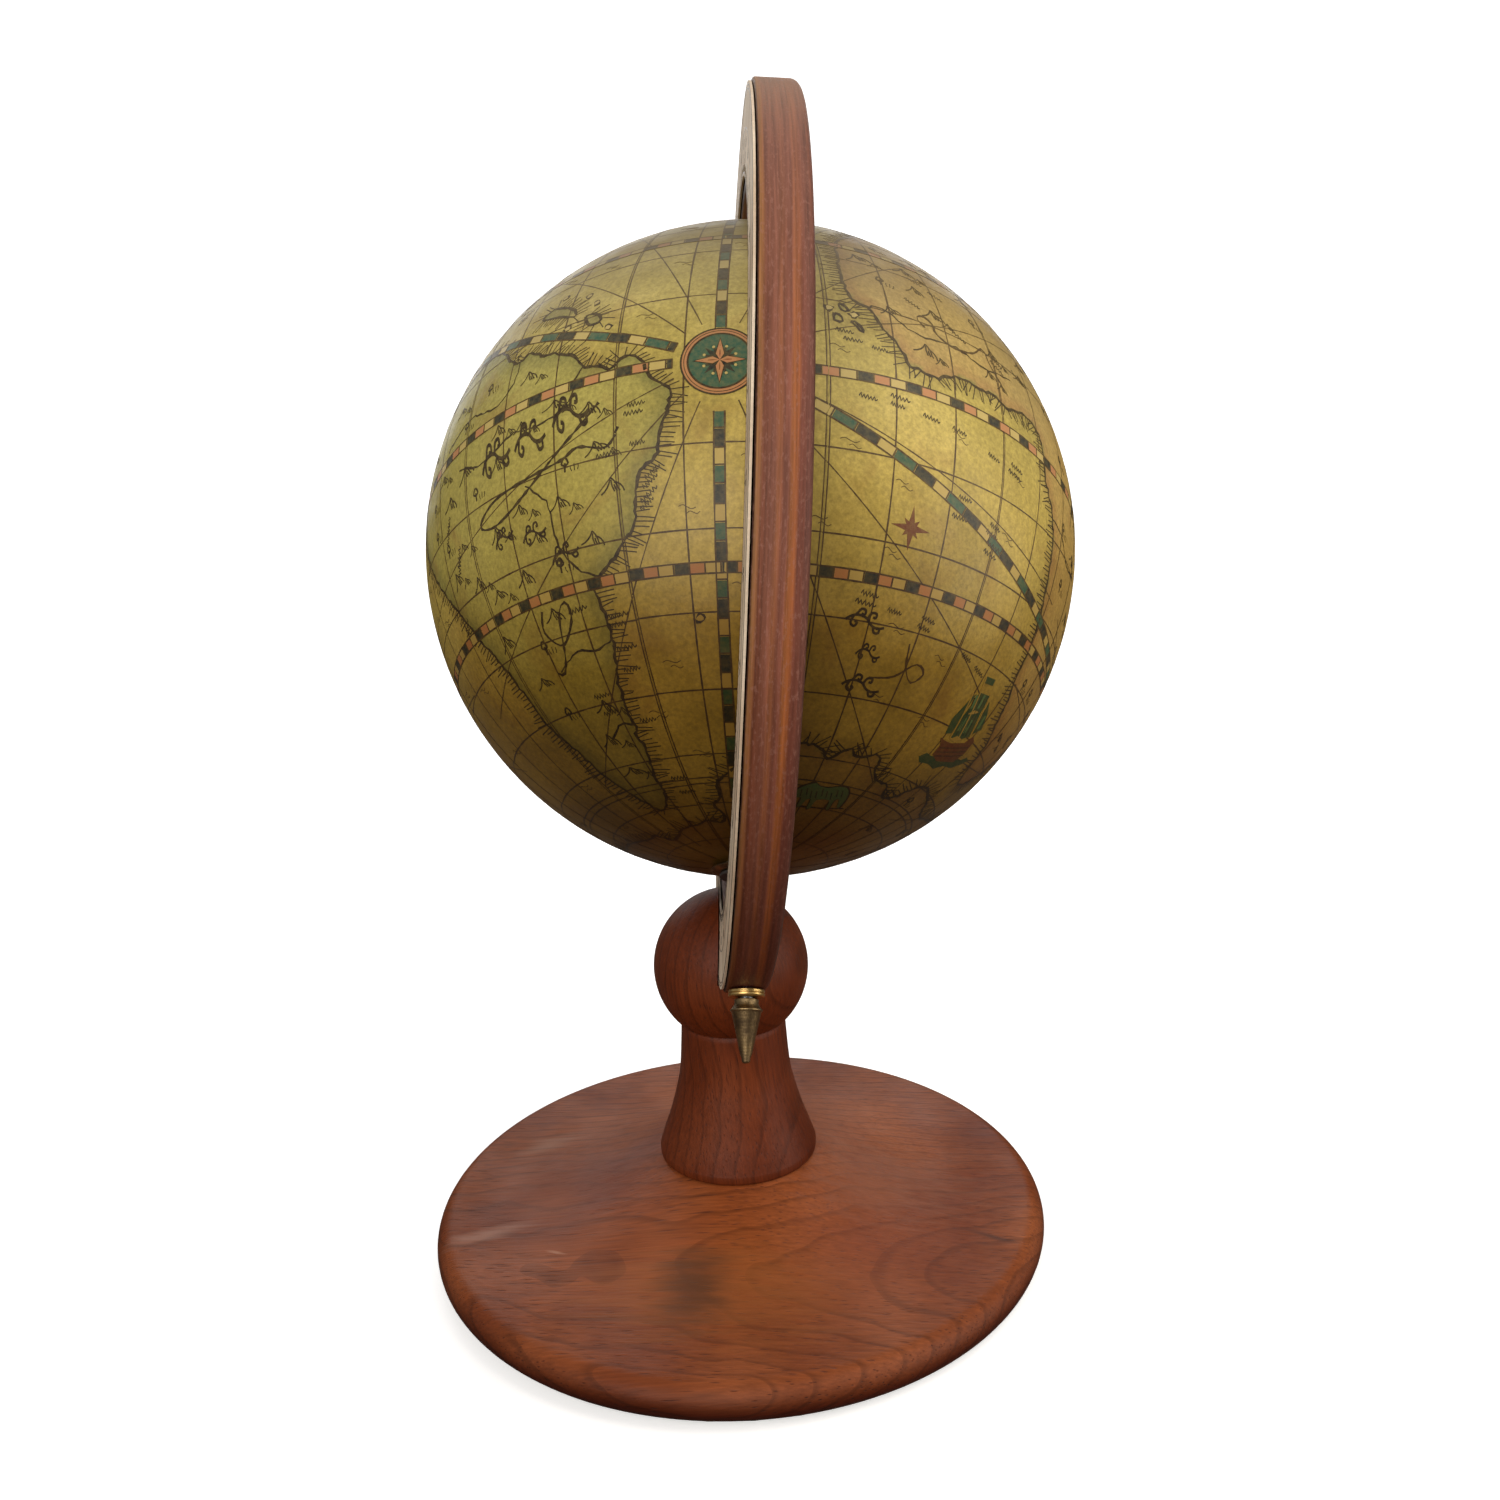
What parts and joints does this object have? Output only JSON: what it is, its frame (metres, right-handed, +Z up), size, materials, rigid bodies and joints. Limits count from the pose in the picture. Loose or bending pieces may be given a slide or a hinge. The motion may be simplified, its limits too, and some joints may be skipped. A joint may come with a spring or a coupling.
{
  "type": "desktop globe on stand",
  "caption": "Old-style globe turning on a tilted axis inside a full wooden meridian ring, held by a slotted ball on a turned stem and round dished base.",
  "frame": {"origin": "middle of the underside of the felt on the base", "axes": "+Z up, -Y is the front, where the south finial points; the meridian ring lies near the YZ plane"},
  "size_m": [0.1723, 0.2152, 0.2903],
  "materials": {
    "base_wood": "red-brown stain, satin varnish, worn",
    "stem_wood": "red-brown stain, satin varnish",
    "ring_wood": "laminated edge, red-brown stain, satin",
    "beech": "plain",
    "map_paper": "printed antique map, glossy varnish",
    "scale_paper": "printed paper, matt",
    "card": "pressed card",
    "brass": "aged, turned",
    "steel": "plain",
    "nylon": "natural",
    "felt": "green felt"
  },
  "bodies": {
    "stand": {"base_felt": "felt", "base": "base_wood", "stem": "stem_wood", "stem_screw": "steel", "stem_washer": "steel", "ball_dowel": "beech", "ball": "stem_wood", "meridian_ring": "ring_wood", "meridian_scale": "scale_paper", "ring_screw": "brass", "axle_rod": "steel", "north_washer": "nylon", "north_spacer": "brass", "north_collar": "brass", "north_finial": "brass", "south_washer": "nylon", "south_spacer": "brass", "south_collar": "brass", "south_finial": "brass"},
    "globe": {"globe_shell_north": "card", "globe_shell_south": "card", "equator_hoop": "card", "map_gore_01": "map_paper", "map_gore_02": "map_paper", "map_gore_03": "map_paper", "map_gore_04": "map_paper", "map_gore_05": "map_paper", "map_gore_06": "map_paper", "map_gore_07": "map_paper", "map_gore_08": "map_paper", "map_gore_09": "map_paper", "map_gore_10": "map_paper", "map_gore_11": "map_paper", "map_gore_12": "map_paper", "north_ferrule": "brass", "south_ferrule": "brass"}
  },
  "joints": [
    {"name": "globe_spin", "type": "hinge", "parent": "stand", "child": "globe", "pos_m": [0.00929, 0, 0.18271], "axis": [0.0619, 0.5, 0.8638], "continuous": true}
  ]
}
